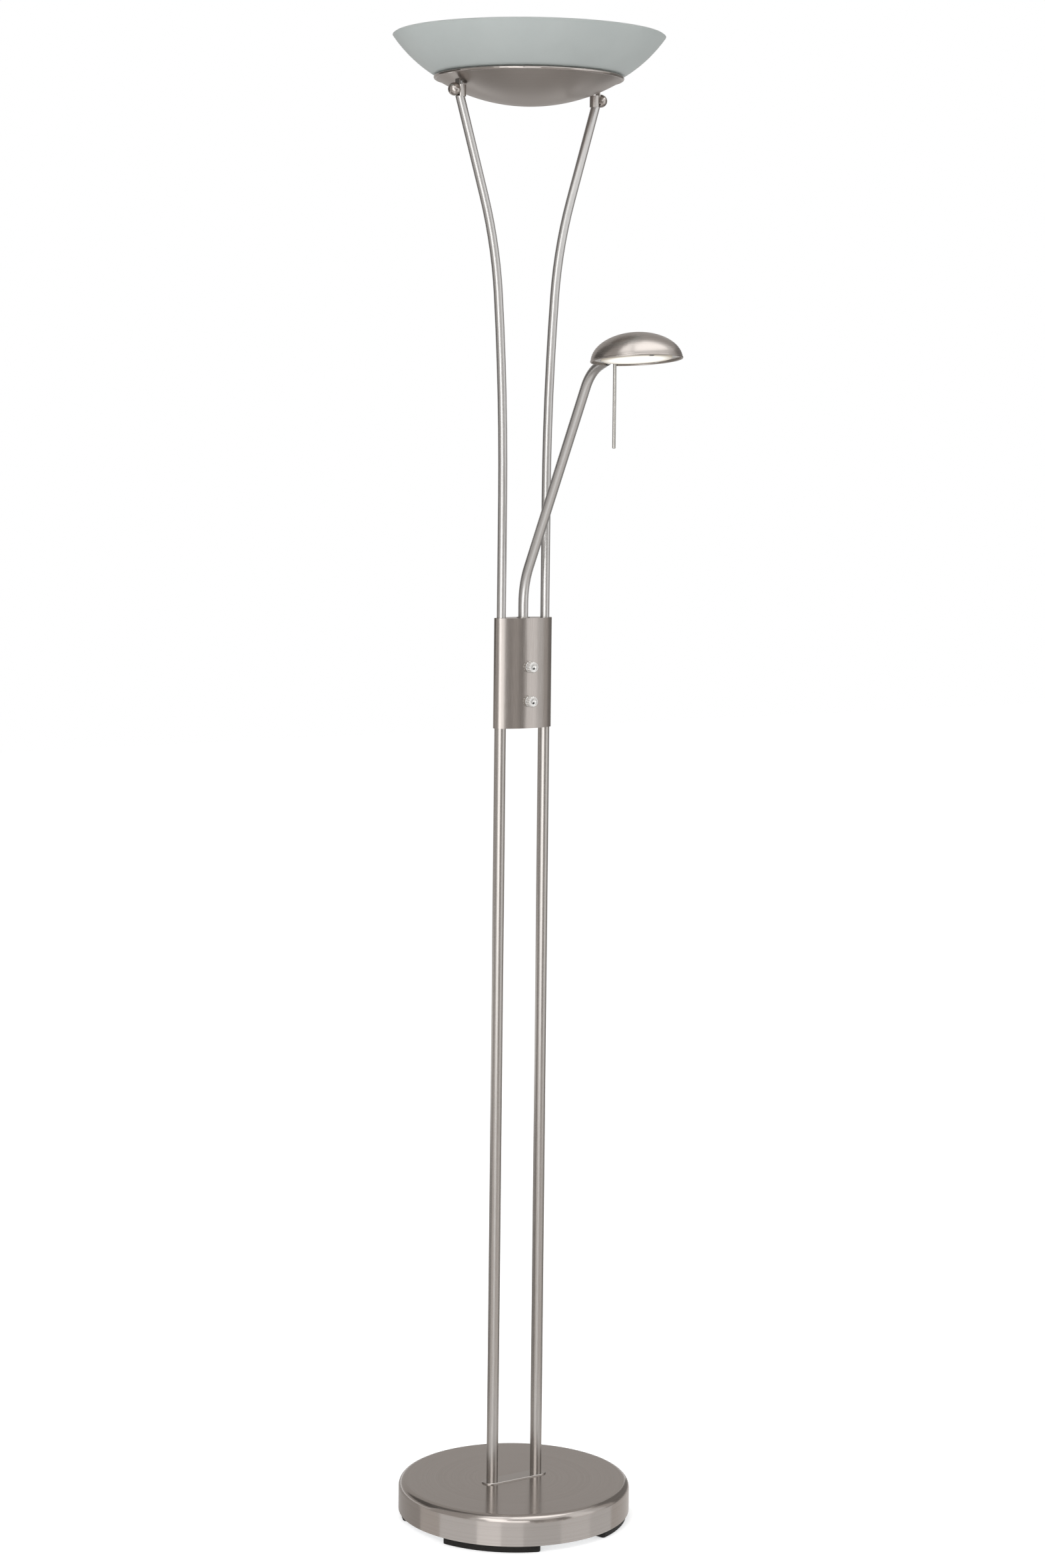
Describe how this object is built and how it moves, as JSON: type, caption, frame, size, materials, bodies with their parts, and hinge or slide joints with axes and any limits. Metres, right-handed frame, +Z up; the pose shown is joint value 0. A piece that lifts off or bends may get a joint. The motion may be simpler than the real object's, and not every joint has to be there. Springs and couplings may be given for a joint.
{
  "type": "torchiere floor lamp with reading light",
  "caption": "Torchiere floor lamp: twin slim poles on a round weighted base flare out to a shallow dish and frosted glass bowl, with a reading light on a leaning, swivelling arm.",
  "frame": {"origin": "on the floor, under the centre of the round base", "axes": "+Z up; the two poles stand along X; the front is -Y, where the knobs are and where the reading arm leans"},
  "size_m": [0.331, 0.4529, 1.8],
  "materials": {
    "satin_nickel": "satin, fine turned brushing, nickel-coloured",
    "nickel_tube": "satin, brushed along the tube, nickel-coloured",
    "polished_chrome": "polished",
    "frosted_glass": "frosted, faintly blue-grey",
    "clear_glass": "clear, polished",
    "lit_lens": "frosted and lit from behind",
    "lamp_glass": "clear quartz",
    "black_rubber": "matt",
    "cast_iron": "as cast, painted",
    "zinc_steel": "zinc plated",
    "bright_aluminium": "bright, specular",
    "white_ceramic": "unglazed",
    "black_plastic": "matt",
    "cable_jacket": "matt"
  },
  "bodies": {
    "stand": {"arm_socket": "nickel_tube", "ball_screws": "polished_chrome", "base_bottom_plate": "zinc_steel", "base_cover": "satin_nickel", "base_screws": "zinc_steel", "base_spacers": "zinc_steel", "base_weight": "cast_iron", "bowl_gasket": "black_rubber", "bracket_nuts": "zinc_steel", "bracket_studs": "zinc_steel", "cord_inlet_grommet": "black_rubber", "dimmer_nuts": "zinc_steel", "dimmers": "black_plastic", "dish_tabs": "satin_nickel", "foot_pads": "black_rubber", "glass_bowl": "frosted_glass", "guard_clips": "zinc_steel", "guard_glass": "clear_glass", "housing_end_plates": "satin_nickel", "housing_posts": "zinc_steel", "housing_screws": "zinc_steel", "lamp_bracket": "zinc_steel", "linear_holders": "white_ceramic", "linear_lamp": "lamp_glass", "lower_pole_left": "nickel_tube", "lower_pole_right": "nickel_tube", "pole_bolts": "zinc_steel", "pole_couplers": "nickel_tube", "pole_foot_plate": "nickel_tube", "pole_inserts": "zinc_steel", "switch_housing_front": "satin_nickel", "switch_housing_rear": "satin_nickel", "tube_end_collars": "nickel_tube", "uplight_cable": "cable_jacket", "uplight_dish": "satin_nickel", "uplight_reflector": "bright_aluminium", "upper_tube_left": "nickel_tube", "upper_tube_right": "nickel_tube"},
    "arm": {"reading_arm": "nickel_tube", "arm_bush": "black_plastic", "arm_cable": "cable_jacket"},
    "swivel": {"swivel_knuckle": "polished_chrome", "swivel_clip": "zinc_steel"},
    "head": {"head_shell": "satin_nickel", "head_ring": "satin_nickel", "head_lens": "lit_lens", "lens_clips": "zinc_steel", "head_reflector": "bright_aluminium", "head_bracket": "zinc_steel", "handle_bridge": "nickel_tube", "handle_rod": "nickel_tube", "tilt_pin": "polished_chrome", "head_stud": "zinc_steel", "head_nut": "zinc_steel", "capsule_holder": "white_ceramic", "capsule_lamp": "lamp_glass"},
    "uplight_knob": {"knob_uplight": "polished_chrome", "dimmer_shaft_uplight": "zinc_steel"},
    "reading_knob": {"knob_reading_light": "polished_chrome", "dimmer_shaft_reading_light": "zinc_steel"}
  },
  "joints": [
    {"name": "arm_swivel", "type": "hinge", "parent": "stand", "child": "arm", "pos_m": [0, 0, 1.0944], "axis": [0, 0, 1], "range_deg": [-60, 60]},
    {"name": "head_roll", "type": "hinge", "parent": "arm", "child": "swivel", "pos_m": [0, -0.17267, 1.40292], "axis": [0, -0.9397, 0.342], "range_deg": [-45, 45]},
    {"name": "head_tilt", "type": "hinge", "parent": "swivel", "child": "head", "pos_m": [0, -0.18724, 1.40822], "axis": [1, 0, 0], "range_deg": [-40, 30]},
    {"name": "uplight_dimmer_turn", "type": "hinge", "parent": "stand", "child": "uplight_knob", "pos_m": [0, -0.0168, 1.0354], "axis": [0, -1, 0], "range_deg": [-135, 135]},
    {"name": "reading_dimmer_turn", "type": "hinge", "parent": "stand", "child": "reading_knob", "pos_m": [0, -0.0168, 0.9937], "axis": [0, -1, 0], "range_deg": [-135, 135]}
  ]
}
